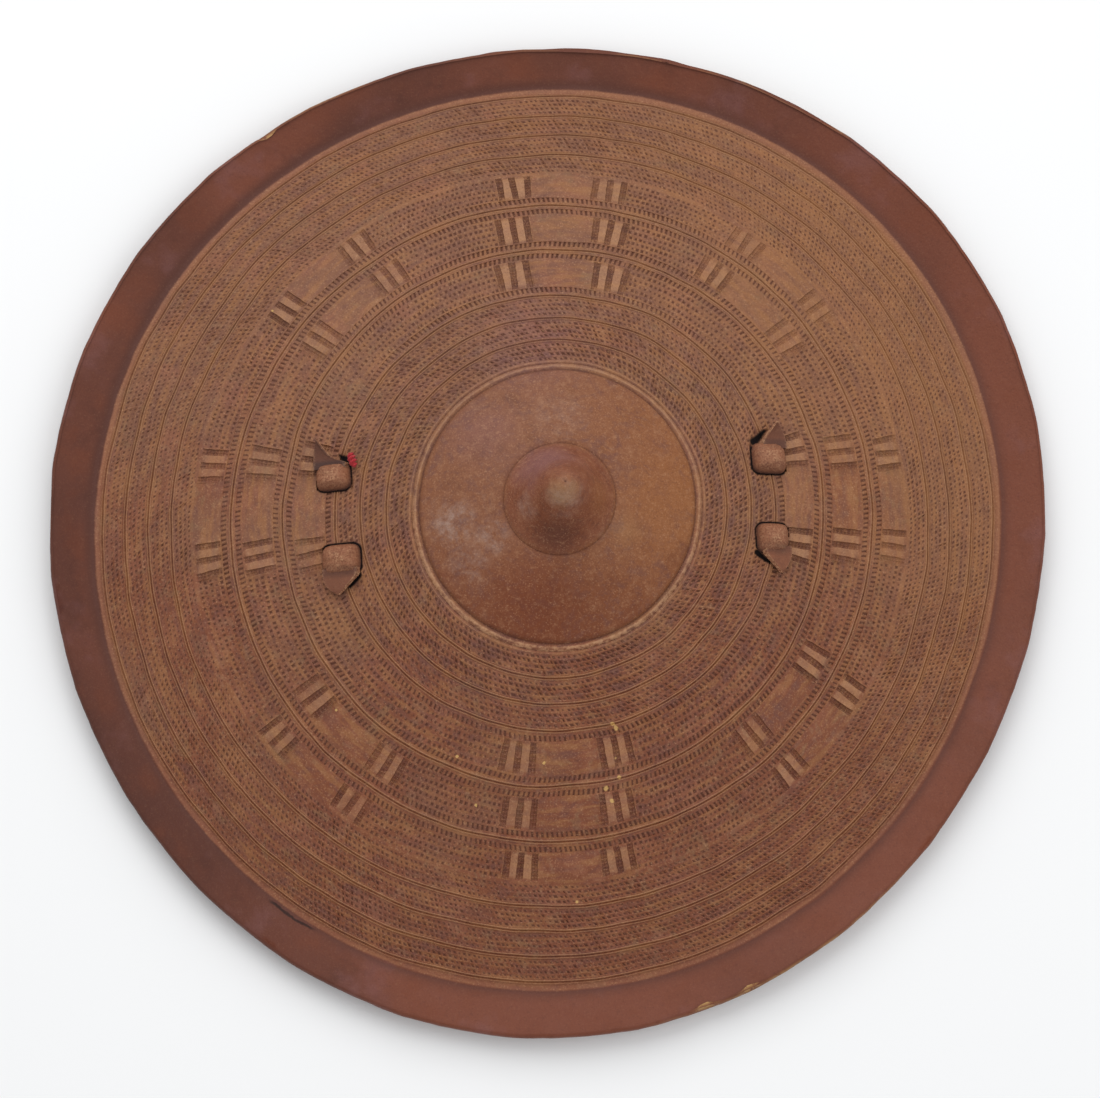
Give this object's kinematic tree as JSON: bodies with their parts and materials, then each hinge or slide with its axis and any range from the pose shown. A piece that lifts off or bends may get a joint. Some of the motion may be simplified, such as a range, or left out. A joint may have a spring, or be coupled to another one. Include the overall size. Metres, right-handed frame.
{
  "type": "hide shield",
  "caption": "Small round hide shield with a raised boss, punched belts and plain panels, an upturned rim and a leather grip knotted through to the front",
  "frame": {"origin": "centre of the bounding box on the surface that the shield lies on", "axes": "+Z up through the boss, out of the front; +X along the hand grip to the right pair of knots; +Y up in the front view"},
  "size_m": [0.3582, 0.3632, 0.086],
  "materials": {
    "tooled_hide": "worn matt red-brown hide, darker in the punched marks",
    "strap_leather": "rough worn strap leather",
    "red_yarn": "twisted red yarn"
  },
  "bodies": {
    "root": {"shield_hide": "tooled_hide", "carrying_handle": "strap_leather", "red_thread": "red_yarn"}
  },
  "joints": []
}
